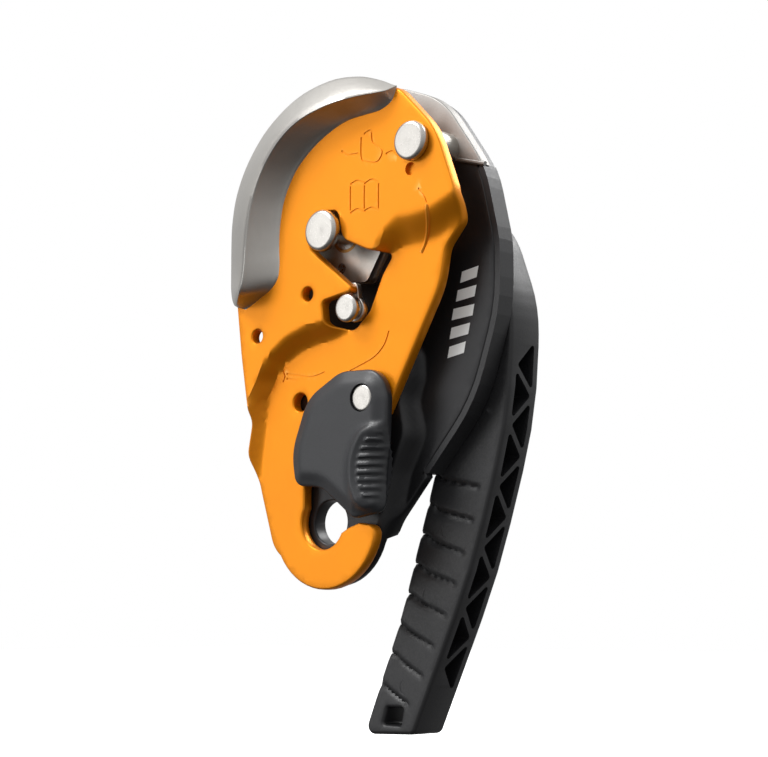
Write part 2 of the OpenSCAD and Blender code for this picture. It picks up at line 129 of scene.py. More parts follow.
def inset(loop, d):
    """Moves a loop sideways by d, to the left of its direction."""
    out = []
    n = len(loop)
    for i in range(n):
        a, b, c = Vector(loop[i - 1]), Vector(loop[i]), Vector(loop[(i + 1) % n])
        u, w = (b - a).normalized(), (c - b).normalized()
        m = Vector((-(u + w).y, (u + w).x))
        if m.length < 1e-6:
            m = Vector((-u.y, u.x))
        m.normalize()
        k = max(0.5, m.dot(Vector((-u.y, u.x))))
        out.append((b.x + m.x * d / k, b.y + m.y * d / k))
    return out


def inside(points, loop):
    """Which of the points (an n by 2 array) lie inside a closed loop."""
    points = np.asarray(points, float)
    hit = np.zeros(len(points), bool)
    x, z = points[:, 0], points[:, 1]
    for a, b in zip(loop, loop[1:] + loop[:1]):
        crosses = (a[1] > z) != (b[1] > z)
        if a[1] != b[1]:
            hit ^= crosses & (x < (b[0] - a[0]) * (z - a[1]) / (b[1] - a[1]) + a[0])
    return hit


def to_line(points, line, closed=False):
    """Distance of each point from a line, and its side: +1 on the line's left."""
    points = np.asarray(points, float)
    best = np.full(len(points), 1e9)
    side = np.ones(len(points))
    for a, b in zip(line, line[1:] + (line[:1] if closed else [])):
        d = np.array((b[0] - a[0], b[1] - a[1]))
        ll = d @ d
        if ll < 1e-9:
            continue
        r = points - np.array(a[:2])
        t = np.clip(r @ d / ll, 0, 1)
        gap = r - t[:, None] * d
        dist = np.einsum("ij,ij->i", gap, gap)
        nearer = dist < best - 1e-9
        best = np.where(nearer, dist, best)
        side = np.where(nearer, np.where(d[0] * r[:, 1] - d[1] * r[:, 0] > 0, 1, -1), side)
    return np.sqrt(best), side


def depth_in(points, loop):
    """How far inside a closed loop each point is, negative outside."""
    dist, _ = to_line(points, loop, True)
    return np.where(inside(points, loop), dist, -dist)


def smooth(t):
    t = np.clip(t, 0, 1)
    return t * t * (3 - 2 * t)


def at_x(lines_x):
    """A function that gives x at height z by straight steps between (x, z) points."""
    xs, zs = [p[0] for p in lines_x], [p[1] for p in lines_x]
    order = np.argsort(zs)
    return lambda z: np.interp(z, np.array(zs)[order], np.array(xs)[order])


foot_bottom = arc((0, 0), 22.6, -20, -150, 20)
crown = arc(CROWN, CROWN_R, 195, 72, 40)

moving_outline = rounded(
    [(17.5, -0.8, 1.8), (25.5, -2, 3.5)] + arc((1, 1), 25, -18, -150, 20)
    + [(-24, -9, 12), (-30.5, 12, 60), (-34, 25, 12), (-31.5, 38, 12), (-35.5, 62, 60), (-38, 82, 20)]
    + crown
    + [(42, 149, 10), (57.5, 133, 30), (66.5, 109, 12), (64, 100, 8), (57, 92, 8), (54.5, 79, 30),
       (30, 36.5, 1.8), (17, 30.5, 5), (2, 27, 9), (-8.5, 18, 7)]
    + arc((0, 0), HOOK_R, 150, 335, 26) + [(12.5, -2.4, 3)])

fixed_outline = rounded(
    foot_bottom + [(-24, -9, 12), (-31.5, 12, 60), (-34.5, 35, 80), (-38, 82, 20)] + crown
    + [(47, 147.5, 30), (65.5, 121, 40), (71.5, 95, 40), (71.5, 72, 60), (60.5, 39.5, 60), (45, 22, 40),
       (25.5, 0, 20)])

window_outline = rounded([
    (-0.8, 97.6, 4), (0.5, 110.5, 5), (12.5, 110, 3), (14.5, 99.5, 6), (26, 94.3, 6), (33.5, 92.5, 1.5),
    (28.5, 86, 10), (22.5, 73.5, 5), (15, 67, 5), (6, 69.5, 3), (5, 78, 2), (20.5, 80.5, 1.2)])

foot_outline = rounded(
    foot_bottom
    + [(-24, -9, 12), (-31.5, 12, 60), (-34, 32, 8), (-27, 43, 20), (-19, 57, 14), (-3, 62.5, 20),
       (37, 61, 5), (36.5, 50, 8), (33.5, 42, 8), (36.5, 30, 8), (30, 17, 20), (25.5, 0, 20)])

# The forged step of the moving side plate, along its high edge and along its low edge
ramp_high = [(-44, -6), (-39, 8), (-36.5, 24), (-34, 36), (-31.5, 44), (-28, 52.5), (-21.5, 61),
             (-13, 67), (-3, 70.5), (7, 71.5), (14, 73), (24, 84), (34, 100), (40.5, 105),
             (47, 105), (55, 105.5), (63, 108.5), (78, 115)]
ramp_low = [(-34, -6), (-31.5, 8), (-30, 24), (-28.5, 34), (-27, 44), (-23.5, 52), (-18, 58),
            (-10.5, 61.5), (-2, 63.5), (6, 64.5), (13, 67), (23, 78), (30, 92),
            (37, 94), (45, 93.5), (53, 95), (61, 98.5), (77, 107)]


# ---- Mesh building, with points in millimetres ------------------------------------------------
def new_object(name, verts, faces):
    mesh = bpy.data.meshes.new(name)
    mesh.from_pydata([(x * MM, y * MM, z * MM) for x, y, z in verts], [], faces)
    mesh.validate()
    obj = bpy.data.objects.new(name, mesh)
    bpy.context.scene.collection.objects.link(obj)
    return obj


def shade(obj, sharp):
    """Smooth shading, but for edges sharper than the given angle."""
    for p in obj.data.polygons:
        p.use_smooth = True
    obj.data.set_sharp_from_angle(angle=math.radians(sharp))


def piece(name, verts, faces, body, look, replaces=(), sharp=35, slot=None, carve=(), join=()):
    """A visible piece that rides on a body. The solids in carve are cut out of it, and those in
    join are added to it first."""
    obj = new_object(name, verts, faces)
    for tools, how in ((join, "UNION"), (carve, "DIFFERENCE")):
        for tool_verts, tool_faces in tools:
            tool = new_object("tool", tool_verts, tool_faces)
            step = obj.modifiers.new("cut", "BOOLEAN")
            step.operation, step.solver, step.object = how, "MANIFOLD", tool
            bpy.context.view_layer.update()
            shape = bpy.data.meshes.new_from_object(obj.evaluated_get(bpy.context.evaluated_depsgraph_get()))
            obj.modifiers.clear()
            obj.data = shape
            bpy.data.objects.remove(tool)
    obj.data.name = name
    shade(obj, sharp)
    obj.data.materials.clear()
    obj.data.materials.append(look)
    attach(obj, body)
    if replaces:
        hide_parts(*replaces)
    return obj


def fill(rings, grid, near):
    """Points and triangles over the area between the first ring and the others, with inner points
    on a grid, twice as close where near(points) is true. The rings' points come first."""
    outer = rings[0]
    xs, zs = [p[0] for p in outer], [p[1] for p in outer]
    fine = grid / 2 if near else grid
    row_gap = fine * math.sqrt(3) / 2
    j, i = np.meshgrid(np.arange(int((max(zs) - min(zs)) / row_gap) + 1),
                       np.arange(int((max(xs) - min(xs)) / fine) + 1), indexing="ij")
    spots = np.stack([min(xs) + (i + 0.5 * (j % 2)) * fine, min(zs) + j * row_gap], -1).reshape(-1, 2)
    keep = inside(spots, outer)
    if near:
        coarse = ((j % 2 == 0) & (i % 2 == (j // 2) % 2)).reshape(-1)
        keep &= coarse | near(spots)
    spots = spots[keep]
    for ring in rings:
        gap, _ = to_line(spots, ring, True)
        spots = spots[(gap > fine * 0.55) & (inside(spots, ring) == (ring is outer))]
    points, edges = [], []
    for ring in rings:
        base = len(points)
        points += [Vector(p) for p in ring]
        edges += [(base + k, base + (k + 1) % len(ring)) for k in range(len(ring))]
    points += [Vector(p) for p in spots]
    out, out_edges, faces, orig, edge_orig, _ = delaunay_2d_cdt(points, edges, [], 0, 1e-6)
    place = {}
    for k, sources in enumerate(orig):
        for source in sources:
            place.setdefault(source, k)
    flat = np.array([(p.x, p.y) for p in out])
    walls = {frozenset(e) for e, sources in zip(out_edges, edge_orig) if sources}
    return flat, [t for region in regions(faces, walls) if within(flat, region, rings) for t in region], place


def regions(tris, walls):
    """Groups the triangles that can be reached from each other without crossing a wall, and leaves
    out the groups that lie open to the outside."""
    across = {}
    for k, t in enumerate(tris):
        for i in range(3):
            across.setdefault(frozenset((t[i - 1], t[i])), []).append(k)
    seen, groups = set(), []
    for first in range(len(tris)):
        if first in seen:
            continue
        seen.add(first)
        group, waiting, enclosed = [], [first], True
        while waiting:
            k = waiting.pop()
            group.append(tris[k])
            for i in range(3):
                side = frozenset((tris[k][i - 1], tris[k][i]))
                if side in walls:
                    continue
                enclosed &= len(across[side]) == 2
                for other in across[side]:
                    if other not in seen:
                        seen.add(other)
                        waiting.append(other)
        if enclosed:
            groups.append(group)
    return groups


def within(flat, region, rings):
    """Whether a region of triangles is inside the first ring and outside the others."""
    corners = flat[np.array(region)]
    u, w = corners[:, 1] - corners[:, 0], corners[:, 2] - corners[:, 0]
    largest = np.argmax(np.abs(u[:, 0] * w[:, 1] - u[:, 1] * w[:, 0]))
    centre = corners[largest].mean(axis=0)[None]
    return inside(centre, rings[0])[0] and not any(inside(centre, hole)[0] for hole in rings[1:])


def plate_mesh(outline, holes=(), front=0, back=1, bevel=0.6, grid=4, near=None, gap=1.6, segments=3):
    """Closed plate between two surfaces, with rounded edges. front and back are levels along Y, or
    functions that give the level of each (x, z) point."""
    def level(surface, points):
        if callable(surface):
            return surface(np.asarray(points, float))
        return np.full(len(points), float(surface))

    loops = [even(outline, gap)] + [even(h, gap * 0.7) for h in holes]
    if area(loops[0]) < 0:
        loops[0].reverse()
    for h in loops[1:]:
        if area(h) > 0:
            h.reverse()
    verts, faces, walls = [], [], []
    for surface, sign in ((front, 1), (back, -1)):
        flat, tris, place = fill([inset(lp, bevel) for lp in loops], grid, near)
        base = len(verts)
        verts += [(p[0], y, p[1]) for p, y in zip(flat, level(surface, flat))]
        faces += [tuple(k + base for k in (t if sign > 0 else t[::-1])) for t in tris]
        start, edge_rings = 0, []
        for lp in loops:
            n = len(lp)
            rings = [[base + place[start + i] for i in range(n)]]
            for k in range(1, segments + 1):
                a = math.pi / 2 * (1 - k / segments)
                ring = inset(lp, bevel * (1 - math.cos(a)))
                rings.append(list(range(len(verts), len(verts) + n)))
                verts += [(p[0], y + sign * bevel * (1 - math.sin(a)), p[1])
                          for p, y in zip(ring, level(surface, ring))]
            for r0, r1 in zip(rings, rings[1:]):
                for i in range(n):
                    quad = (r0[i], r1[i], r1[(i + 1) % n], r0[(i + 1) % n])
                    faces.append(quad if sign > 0 else quad[::-1])
            edge_rings.append(rings[-1])
            start += n
        walls.append(edge_rings)
    for r0, r1 in zip(*walls):
        n = len(r0)
        faces += [(r0[i], r1[i], r1[(i + 1) % n], r0[(i + 1) % n]) for i in range(n)]
    return verts, faces


def lathe_mesh(at, profile, n=72):
    """A solid turned about a Y axis: the profile is (radius, y), from axis to axis, front to back."""
    verts, faces, rings = [], [], []
    for r, y in profile:
        count = n if r > 0 else 1
        rings.append(list(range(len(verts), len(verts) + count)))
        verts += [(at[0] + r * math.cos(2 * math.pi * i / n), y, at[1] + r * math.sin(2 * math.pi * i / n))
                  for i in range(count)]
    for a, b in zip(rings, rings[1:]):
        for i in range(n):
            j = (i + 1) % n
            if len(a) == 1:
                faces.append((a[0], b[i], b[j]))
            elif len(b) == 1:
                faces.append((a[i], b[0], a[j]))
            else:
                faces.append((a[i], b[i], b[j], a[j]))
    return verts, faces


def prism(loop, front, back):
    """A straight solid over a closed (x, z) loop."""
    if area(loop) < 0:
        loop = loop[::-1]
    n = len(loop)
    verts = [(x, front, z) for x, z in loop] + [(x, back, z) for x, z in loop]
    faces = [tuple(range(n)), tuple(range(2 * n - 1, n - 1, -1))]
    faces += [(i, n + i, n + (i + 1) % n, (i + 1) % n) for i in range(n)]
    return verts, faces


def merged(solids):
    """Several separate solids as one."""
    verts, faces = [], []
    for v, f in solids:
        faces += [tuple(k + len(verts) for k in face) for face in f]
        verts += v
    return verts, faces


def curve_points(points, n=10):
    """A smooth line through a few points, by Catmull-Rom steps."""
    p = [points[0]] + list(points) + [points[-1]]
    out = []
    for i in range(1, len(p) - 2):
        a, b, c, d = (np.array(q, float) for q in p[i - 1:i + 3])
        for k in range(n):
            t = k / n
            out.append(tuple(0.5 * (2 * b + (c - a) * t + (2 * a - 5 * b + 4 * c - d) * t * t
                                    + (3 * b - a - 3 * c + d) * t ** 3)))
    return out + [tuple(map(float, points[-1]))]


def groove(path, width, front, back):
    """A straight-sided solid along an (x, z) path, to cut a groove or to stand as a ridge."""
    left, right = [], []
    for i, p in enumerate(path):
        a, b = path[max(i - 1, 0)], path[min(i + 1, len(path) - 1)]
        d = Vector((b[0] - a[0], b[1] - a[1])).normalized() * width / 2
        left.append((p[0] - d.y, p[1] + d.x))
        right.append((p[0] + d.y, p[1] - d.x))
    return prism(left + right[::-1], front, back)


def spin_tube(path, r, sides=10):
    """A closed round bar along (x, y, z) points."""
    verts, faces = [], []
    n = len(path)
    for i, p in enumerate(path):
        d = (Vector(path[min(i + 1, n - 1)]) - Vector(path[max(i - 1, 0)])).normalized()
        u = d.cross(Vector((0, 1, 0))).normalized()
        v = u.cross(d)
        verts += [tuple(Vector(p) + r * (u * math.cos(2 * math.pi * k / sides)
                                         + v * math.sin(2 * math.pi * k / sides))) for k in range(sides)]
    for i in range(n - 1):
        for k in range(sides):
            a, b = i * sides + k, i * sides + (k + 1) % sides
            faces.append((a, a + sides, b + sides, b))
    faces += [tuple(range(sides)), tuple(range(n * sides - 1, (n - 1) * sides - 1, -1))]
    return verts, faces


def side_prism(loop, x0, x1):
    """A straight solid over a closed (y, z) loop, from one x to another."""
    if area(loop) < 0:
        loop = loop[::-1]
    n = len(loop)
    verts = [(x0, y, z) for y, z in loop] + [(x1, y, z) for y, z in loop]
    faces = [tuple(range(n - 1, -1, -1)), tuple(range(n, 2 * n))]
    faces += [(i, (i + 1) % n, n + (i + 1) % n, n + i) for i in range(n)]
    return verts, faces


# ---- Materials --------------------------------------------------------------------------------
def linear(r, g, b):
    def one(c):
        c /= 255
        return c / 12.92 if c <= 0.04045 else ((c + 0.055) / 1.055) ** 2.4
    return (one(r), one(g), one(b), 1)


def material(name, colour, metallic, roughness, grain=(900, 0.1), bump=0.05, vary=0.08, wear=None,
             rings=None, specular=0.5):
    """Principled material with grain in its colour, roughness and bump, and lighter worn edges.
    grain is (scale, roughness change), wear is (colour, amount), and rings is the (x, z) centre
    of turning marks."""
    m = bpy.data.materials.new(name)
    m.use_nodes = True
    nodes, links = m.node_tree.nodes, m.node_tree.links
    bsdf = nodes["Principled BSDF"]
    bsdf.inputs["Metallic"].default_value = metallic
    bsdf.inputs["Specular IOR Level"].default_value = specular

    def node(kind, inputs, **settings):
        made = nodes.new(kind)
        for key, value in settings.items():
            setattr(made, key, value)
        for key, value in inputs.items():
            if isinstance(value, bpy.types.NodeSocket):
                links.new(value, made.inputs[key])
            else:
                made.inputs[key].default_value = value
        return made

    def span(value, low, high, to_low, to_high):
        return node("ShaderNodeMapRange", {"Value": value, "From Min": low, "From Max": high,
                                           "To Min": to_low, "To Max": to_high}).outputs["Result"]

    spot = node("ShaderNodeTexCoord", {}).outputs["Object"]
    fine = node("ShaderNodeTexNoise", {"Vector": spot, "Scale": grain[0], "Detail": 4}).outputs["Fac"]
    broad = node("ShaderNodeTexNoise",
                 {"Vector": spot, "Scale": 45, "Detail": 5, "Roughness": 0.6}).outputs["Fac"]
    tone = span(broad, 0.3, 0.7, 1 - vary, 1 + vary)
    base = node("ShaderNodeMix", {"Factor": 1, "A": colour, "B": tone},
                data_type="RGBA", blend_type="MULTIPLY")
    colour_out = base.outputs["Result"]
    if wear:
        edge = span(node("ShaderNodeNewGeometry", {}).outputs["Pointiness"], 0.53, 0.64, 0, wear[1])
        patchy = node("ShaderNodeMath", {0: edge, 1: span(broad, 0.35, 0.65, 0.6, 1)}, operation="MULTIPLY")
        colour_out = node("ShaderNodeMix", {"Factor": patchy.outputs["Value"], "A": colour_out, "B": wear[0]},
                          data_type="RGBA").outputs["Result"]
    links.new(colour_out, bsdf.inputs["Base Color"])
    links.new(span(fine, 0.25, 0.75, max(0.02, roughness - grain[1]), min(1, roughness + grain[1])),
              bsdf.inputs["Roughness"])
    height = fine
    if rings:
        flat = node("ShaderNodeVectorMath", {0: spot, 1: (1, 0, 1)}, operation="MULTIPLY").outputs["Vector"]
        turn = node("ShaderNodeVectorMath", {0: flat, 1: (rings[0] * MM, 0, rings[1] * MM)},
                    operation="DISTANCE").outputs["Value"]
        phase = node("ShaderNodeMath", {0: turn, 1: 2 * math.pi / (0.25 * MM)},
                     operation="MULTIPLY").outputs["Value"]
        wave = node("ShaderNodeMath", {0: phase}, operation="SINE").outputs["Value"]
        height = node("ShaderNodeMath", {0: wave, 1: 0.35, 2: fine},
                      operation="MULTIPLY_ADD").outputs["Value"]
    relief = node("ShaderNodeBump", {"Height": height, "Strength": bump, "Distance": 0.00005})
    links.new(relief.outputs["Normal"], bsdf.inputs["Normal"])
    return m


ORANGE = material("orange_anodised", linear(234, 140, 0), 0.6, 0.38, (2600, 0.06), 0.2, 0.04,
                  wear=(linear(255, 200, 110), 0.55))
BLACK_ALU = material("black_anodised", linear(34, 34, 36), 0.3, 0.4, (2400, 0.07), 0.2, 0.08,
                     wear=(linear(105, 105, 107), 0.5))
STAINLESS = material("stainless_satin", linear(186, 183, 178), 1.0, 0.36, (1500, 0.07), 0.25, 0.07,
                     wear=(linear(225, 223, 218), 0.7))
NYLON = material("black_nylon", linear(30, 30, 32), 0.0, 0.45, (1700, 0.08), 0.7, 0.1,
                 wear=(linear(92, 92, 95), 0.5))
GATE_NYLON = material("gate_nylon", linear(38, 39, 42), 0.0, 0.42, (1900, 0.07), 0.6, 0.08,
                      wear=(linear(98, 99, 103), 0.5))
STRIP = material("strip_steel", linear(150, 148, 145), 1.0, 0.55, (1500, 0.06), 0.25, 0.05)
CAST = material("cast_steel", linear(182, 178, 171), 1.0, 0.38, (1300, 0.1), 0.6, 0.1,
                wear=(linear(205, 202, 196), 0.6))
WIRE = material("spring_steel", linear(150, 148, 145), 1.0, 0.3, (900, 0.08), 0.2)
BRONZE = material("bronze", linear(176, 132, 78), 1.0, 0.35, (1200, 0.1), 0.3)
GUARD_NYLON = material("guard_nylon", linear(24, 24, 26), 0.0, 0.5, (1900, 0.07), 0.5, 0.08,
                       wear=(linear(60, 60, 62), 0.4))
RED = material("red_nylon", linear(176, 30, 22), 0.0, 0.45, (1700, 0.08), 0.5)
PRINT = material("white_print", linear(238, 238, 236), 0.0, 0.5, (2400, 0.08), 0.2, 0.02)


def turned_steel(name, at):
    return material(name, linear(190, 187, 182), 1.0, 0.3, (1500, 0.05), 0.1, 0.04, rings=at)


# ---- Moving side plate: one forging, stepped forward over the rope channel --------------------
def step_at(points):
    """0 on the raised part of the moving side plate, 1 on its lowered part."""
    a, side_a = to_line(points, ramp_high)
    b, side_b = to_line(points, ramp_low)
    a, b = a * -side_a, b * side_b
    t = np.where(a <= 0, 0, np.where(b <= 0, 1, a / np.maximum(a + b, 1e-6)))
    return 0.35 * t + 0.65 * smooth(t)


def near_step(points):
    return (to_line(points, ramp_high)[0] < 7) | (to_line(points, ramp_low)[0] < 7)


def moving_front(points):
    return HIGH_FRONT + (LOW_FRONT - HIGH_FRONT) * step_at(points)


ENGRAVE, OVER = 0.3, 1.0


def engraved(paths, face, width=0.7):
    return merged([groove(curve_points(p), width, face - OVER, face + ENGRAVE) for p in paths])


page = [(25.5, 118.0), (22.2, 119.2), (18.9, 118.4)]
page_foot = [(18.9, 108.0), (22.2, 109.0), (25.5, 107.6)]
book = [page, page_foot, [(32.1, 117.4), (28.8, 118.6), (25.5, 117.6)],
        [(25.5, 107.9), (28.8, 108.6), (32.1, 107.2)]]
book_sides = [[(x, z0), (x, z1)]
              for x, z0, z1 in ((18.9, 109, 117.6), (25.5, 108.7, 117), (32.1, 108, 116.8))]
hand = [[(24.0, 134.6), (24.1, 127.4), (26.4, 125.4), (31.5, 124.6), (33.8, 128.4), (29.4, 132.2),
         (28.6, 136.2), (25.2, 135.6)],
        [(14.6, 131.2), (18.0, 129.2), (22.6, 129.0)], [(35.4, 126.8), (38.4, 127.2), (41.0, 125.0)]]
rope_top = [[(50.1, 112.5), (52.7, 109.8), (54.0, 107.0)]]
rope_low = [[(31.7, 65.4), (29.4, 60.6), (24.3, 56.5), (13.5, 52.8)]]
anchor = [[(-19.4, 55.8), (-18.4, 53.6), (-19.4, 51.4)],
          [(-17.6, 54.4), (-12.0, 53.4), (-5.0, 52.2), (1.4, 53.4)], [(-17.6, 52.6), (-12.0, 51.6)]]

PLATE_HOLES = [((-2, 81.3), 2.5), ((-27.1, 68.4), 2.5), ((-10.9, 43.4), 3.3)]
BLIND_HOLE, BLIND_R, BLIND_DEPTH = (46.6, 119.8), 2.3, 1.5
plate_verts, plate_faces = plate_mesh(
    moving_outline,
    [window_outline] + [circle(at, r, 28) for at, r in PLATE_HOLES], moving_front,
    lambda points: moving_front(points) + PLATE_T, bevel=1.0, grid=3, near=near_step, gap=1.4)
piece("moving_side_plate_forged", plate_verts, plate_faces, "moving_side", ORANGE, ["moving_side_plate"],
      slot="orange_anodised", sharp=28,
      carve=[engraved(book + book_sides + hand + rope_top, HIGH_FRONT),
             engraved(rope_low + anchor, LOW_FRONT),
             prism(circle(BLIND_HOLE, BLIND_R), HIGH_FRONT - OVER, HIGH_FRONT + BLIND_DEPTH)])

ridge_path = [(53.9, 106.2), (53.2, 103.0), (51.2, 99.0), (48.6, 95.0), (46.4, 91.4)]
ridge_points = curve_points(ridge_path, 6)
ridge_levels = moving_front(np.array(ridge_points))
ridge_line = [(x, y + 0.2, z) for (x, z), y in zip(ridge_points, ridge_levels)]
piece("moving_side_plate_ridge", *spin_tube(ridge_line, 0.8), "moving_side", ORANGE, slot="orange_anodised")

# ---- Friction plate: pressed steel, its stations run from the free end over the top ------------
# Each station is its inner edge, its crest, its outer edge and its height as a part of the full one
stations = [
    ((-33.0, 78.9), (-36.2, 79.9), (-38.7, 81.0), 0.08),
    ((-29.5, 80.3), (-33.6, 80.2), (-39.0, 82.2), 0.42),
    ((-24.7, 82.6), (-30.0, 81.2), (-39.1, 84.0), 0.75),
    ((-19.8, 85.2), (-27.2, 83.4), (-39.2, 87.0), 0.96),
    ((-16.6, 88.8), (-25.5, 87.2), (-39.2, 90.5), 1.0),
    ((-15.8, 94.0), (-24.5, 92.8), (-39.2, 95.5), 1.0),
    ((-16.0, 99.5), (-23.9, 99.5), (-39.2, 101.5), 1.0),
    ((-15.6, 108.0), (-22.8, 108.5), (-38.8, 111.5), 1.0),
    ((-13.4, 117.5), (-20.0, 118.7), (-36.4, 122.5), 1.0),
    ((-8.0, 126.8), (-14.6, 128.8), (-30.4, 134.0), 1.0),
    ((-0.5, 133.5), (-6.6, 137.3), (-20.4, 145.0), 1.0),
    ((8.0, 138.4), (3.3, 142.8), (-6.0, 153.6), 1.0),
    ((17.0, 141.6), (15.5, 145.6), (10.0, 157.2), 1.0),
    ((26.0, 142.4), (26.0, 146.8), (23.5, 156.4), 0.9),
    ((32.9, 142.9), (33.6, 147.4), (33.0, 153.6), 0.68),
    ((38.0, 145.2), (38.2, 148.2), (38.6, 151.0), 0.38),
    ((40.3, 149.6), (40.3, 150.0), (40.5, 150.3), 0.06)]
RISE = HIGH_FRONT - CREST_FRONT
SLOPE_STEPS, RIM = 9, 0.16


def lip_section(inner, crest, outer, part):
    """The points of one section, from the inner edge over the crest to the outer edge and back."""
    inner, crest, outer = (np.array(p) for p in (inner, crest, outer))
    out = []
    for k in range(SLOPE_STEPS):
        u = k / SLOPE_STEPS
        out.append((inner + (crest - inner) * u * 0.94, 0.93 * u ** 1.35))
    for k in range(5):
        a = math.pi * (0.15 + 0.7 * k / 4)
        out.append((crest - (crest - inner) * 0.06 * math.cos(a), 0.9 + 0.1 * math.sin(a)))
    for k in range(1, SLOPE_STEPS + 1):
        u = k / SLOPE_STEPS
        out.append((crest + (outer - crest) * (0.05 + 0.95 * u), 0.96 - (0.96 - RIM) * u ** 1.25))
    section = [(p[0], HIGH_FRONT - RISE * part * h, p[1]) for p, h in out]
    return section + [(outer[0], HIGH_FRONT + 0.1, outer[1]), (inner[0], HIGH_FRONT + 0.1, inner[1])]


tracks = [curve_points([s[k] for s in stations], 5) for k in range(3)]
heights = [h for h, _ in curve_points([(s[3], 0) for s in stations], 5)]
rows = [lip_section(a, b, c, min(h, 1)) for a, b, c, h in zip(*tracks, heights)]
width = len(rows[0])
lip_faces = [(i * width + k, (i + 1) * width + k, (i + 1) * width + (k + 1) % width,
              i * width + (k + 1) % width)
             for i in range(len(rows) - 1) for k in range(width)]
lip_faces += [tuple(range(width)),
              tuple(range(len(rows) * width - 1, (len(rows) - 1) * width - 1, -1))]
piece("friction_plate_pressed", [p for row in rows for p in row], lip_faces, "moving_side", STAINLESS,
      ["friction_plate"], slot="stainless_satin", sharp=60)

# ---- Pins -------------------------------------------------------------------------------------
def head(r, front, back, chamfer):
    """The profile of a turned head, from its centre to the back of its rim."""
    return [(0, front + 0.12), (0.9, front + 0.02), (r - chamfer - 0.5, front), (r - chamfer, front + 0.06),
            (r - 0.12, front + chamfer - 0.1), (r, front + chamfer + 0.25), (r, back - 0.4), (r - 0.3, back)]


pins = {
    "cam_axle": (CAM, "fixed_side", head(7.4, -17.4, PIN_HEAD_BACK, 0.9)
                 + [(3.4, PIN_HEAD_BACK), (3.4, CAM_FRONT), (5, CAM_FRONT), (5, 8.2), (4, 8.2),
                    (4, AXLE_BACK), (0, AXLE_BACK)]),
    "hinge_pin": (HINGE, "fixed_side", head(6.9, -17.2, PIN_HEAD_BACK, 0.8)
                  + [(4, PIN_HEAD_BACK), (4, WALL_BACK), (6, WALL_BACK), (6, 10.5), (5.6, 10.9), (0, 10.9)]),
    "gate_pin": (GATE, "moving_side", head(4.65, -13.0, GATE_HEAD_BACK, 0.4)
                 + [(2.5, GATE_HEAD_BACK), (2.5, LOW_BACK), (0, LOW_BACK)])}
for name, (at, body, profile) in pins.items():
    piece(name + "_turned", *lathe_mesh(at, profile), body, turned_steel(name + "_steel", at), [name],
          slot="turned_steel", sharp=50)
stud_steel = turned_steel("locking_stud_steel", STUD)
piece("locking_stud_turned",
      *lathe_mesh(STUD, head(5, PIN_HEAD_BACK, STUD_HEAD_BACK, 0.7)
                  + [(3.5, STUD_HEAD_BACK), (3.5, HIGH_BACK), (4.2, HIGH_BACK), (4.5, -9.0),
                     (4.5, STUD_BACK), (0, STUD_BACK)]),
      "moving_side", stud_steel, ["locking_stud"], slot="turned_steel", sharp=50)
piece("locking_stud_tongue",
      *plate_mesh(rounded([(12, 75, 1), (19, 76, 1), (18, 84, 2), (8, 84.5, 2)]),
                  front=HIGH_BACK, back=STUD_BACK, bevel=0.3, gap=1),
      "moving_side", CAST, slot="turned_steel")

# ---- Fixed side -------------------------------------------------------------------------------
guard_zone = [(34, 16), (90, 16), (90, 122), (60, 122), (34, 40)]
wall_zone = [(-60, 20), (10, 20), (17, 3), (25, -9), (120, -9), (120, 180), (-60, 180)]


def plate_inside_guard():
    loop = even(fixed_outline, 1.6)
    if area(loop) < 0:
        loop.reverse()
    inner = inset(loop, 2.3)
    guarded = inside(loop, guard_zone)
    return [b if g else a for a, b, g in zip(loop, inner, guarded)]


def fixed_front(points):
    return FOOT_FRONT + (WALL_FRONT - FOOT_FRONT) * smooth(0.5 - depth_in(points, foot_outline) / 4)


def fixed_back(points):
    return FOOT_BACK + (WALL_BACK - FOOT_BACK) * smooth(0.5 + depth_in(points, wall_zone) / 1.5)


def near_foot(points):
    return (to_line(points, foot_outline, True)[0] < 5) | (to_line(points, wall_zone, True)[0] < 2)


piece("fixed_side_plate_machined",
      *plate_mesh(plate_inside_guard(), [circle((0, 0), ATTACH_R, 56)], fixed_front, fixed_back,
                  bevel=0.6, grid=2.4, near=near_foot),
      "fixed_side", BLACK_ALU, ["fixed_side_plate"], slot="black_anodised", sharp=75)

strip_cut = [(-80, -60), (-80, 200), (24, 200), (24, 131), (47, 127), (66, 121.5), (90, 114.5), (90, -60)]
strip_outline = inset(even(fixed_outline, 1.6), -0.4 if area(fixed_outline) > 0 else 0.4)
piece("wear_strip_formed",
      *plate_mesh(strip_outline, front=WALL_FRONT - 0.8, back=WALL_BACK, bevel=0.5, grid=6),
      "fixed_side", STRIP, ["wear_strip"], slot="stainless_satin", carve=[prism(strip_cut, -20, 40)])
piece("wear_strip_lip",
      *spin_tube([(x, WALL_FRONT - 0.1, z)
                  for x, z in curve_points([(44, 127.7), (55, 124.8), (65.5, 121.8)], 6)], 0.9),
      "fixed_side", STRIP, slot="stainless_satin")

# A plain printed mark: five slanted bars along the band
MARK_AT, MARK_TILT = (55.3, 71.0), math.radians(12.6)
along = Vector((math.sin(MARK_TILT), math.cos(MARK_TILT)))
across = Vector((math.cos(MARK_TILT), -math.sin(MARK_TILT)))
bars = []
for i in range(5):
    centre = Vector(MARK_AT) + along * (i - 2) * 6.6
    half_w = 4.4 - 0.5 * abs(i - 2)
    bars.append(prism([tuple(centre + across * sx * half_w + along * (sy * 2.0 + sx * 1.4))
                       for sx, sy in ((-1, -1), (1, -1), (1, 1), (-1, 1))],
                      WALL_FRONT - 0.06, WALL_FRONT + 0.2))
piece("side_mark_bars", *merged(bars), "fixed_side", PRINT)

